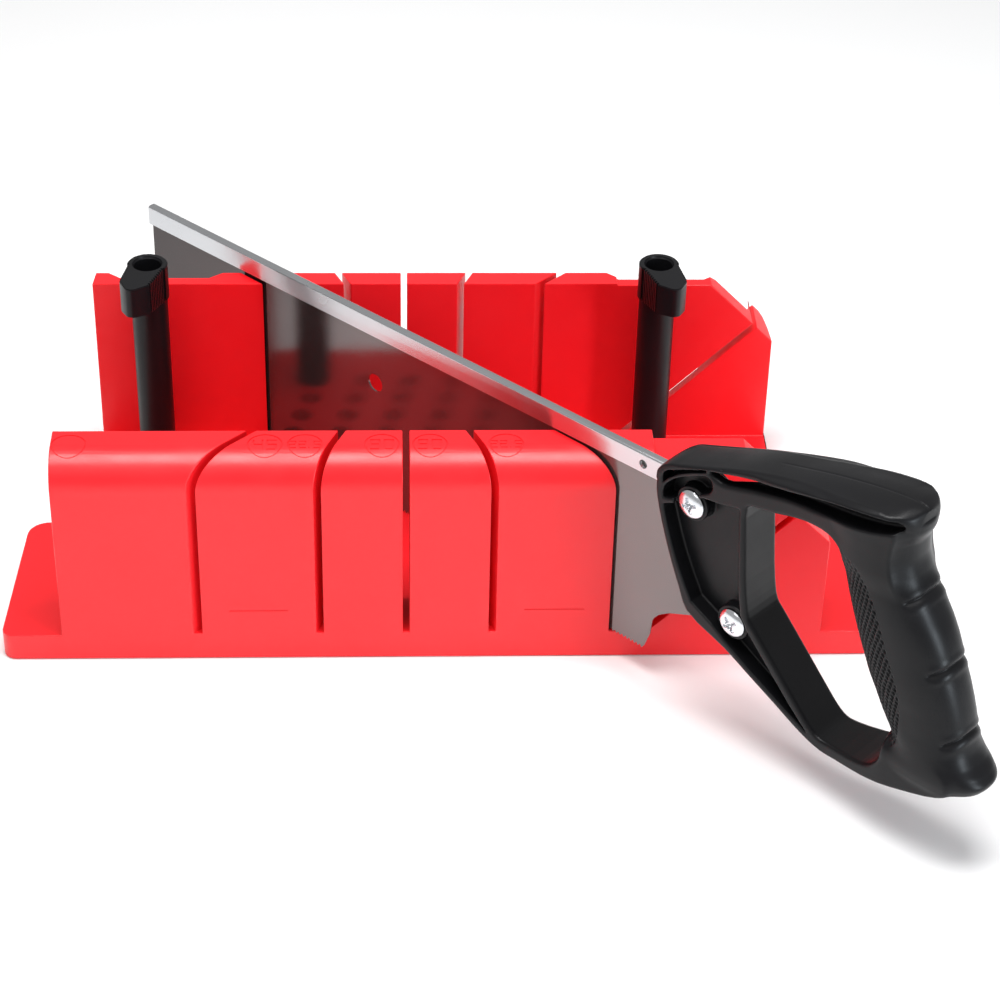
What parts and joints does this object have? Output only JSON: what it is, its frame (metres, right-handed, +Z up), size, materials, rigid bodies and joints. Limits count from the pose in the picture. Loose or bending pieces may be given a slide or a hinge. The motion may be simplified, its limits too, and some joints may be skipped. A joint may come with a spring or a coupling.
{
  "type": "miter box with back saw",
  "caption": "Moulded miter box with slotted walls, a back saw held in its 45 degree slots, and turning cam pegs that clamp the work.",
  "frame": {"origin": "on the underside of the base, straight below the vertical line where all the miter cuts cross", "axes": "+X along the box to the right, +Y from the front wall (nearest the user) to the rear wall, +Z up"},
  "size_m": [0.4581, 0.3974, 0.1734],
  "materials": {
    "red_plastic": "satin injection-moulded red ABS",
    "black_plastic": "satin black moulded plastic, textured grip",
    "blade_steel": "polished and lightly brushed carbon steel",
    "spine_steel": "bright zinc-plated folded strip",
    "bolt_zinc": "bright zinc plate"
  },
  "bodies": {
    "box": {"miter_box": "red_plastic"},
    "left_peg": {"left_cam_peg": "black_plastic"},
    "right_peg": {"right_cam_peg": "black_plastic"},
    "saw": {"saw_blade": "blade_steel", "blade_spine": "spine_steel", "saw_handle": "black_plastic", "upper_handle_bolt": "bolt_zinc", "lower_handle_bolt": "bolt_zinc", "upper_handle_nut": "bolt_zinc", "lower_handle_nut": "bolt_zinc"}
  },
  "joints": [
    {"name": "saw_stroke", "type": "slide", "parent": "box", "child": "saw", "axis": [0.7071, -0.7071, 0], "range_m": [-0.015, 0.07]},
    {"name": "left_peg_turn", "type": "hinge", "parent": "box", "child": "left_peg", "pos_m": [-0.1282, 0.0468, 0.01], "axis": [0, 0, 1], "continuous": true},
    {"name": "right_peg_turn", "type": "hinge", "parent": "box", "child": "right_peg", "pos_m": [0.1282, 0.0468, 0.01], "axis": [0, 0, 1], "continuous": true}
  ]
}
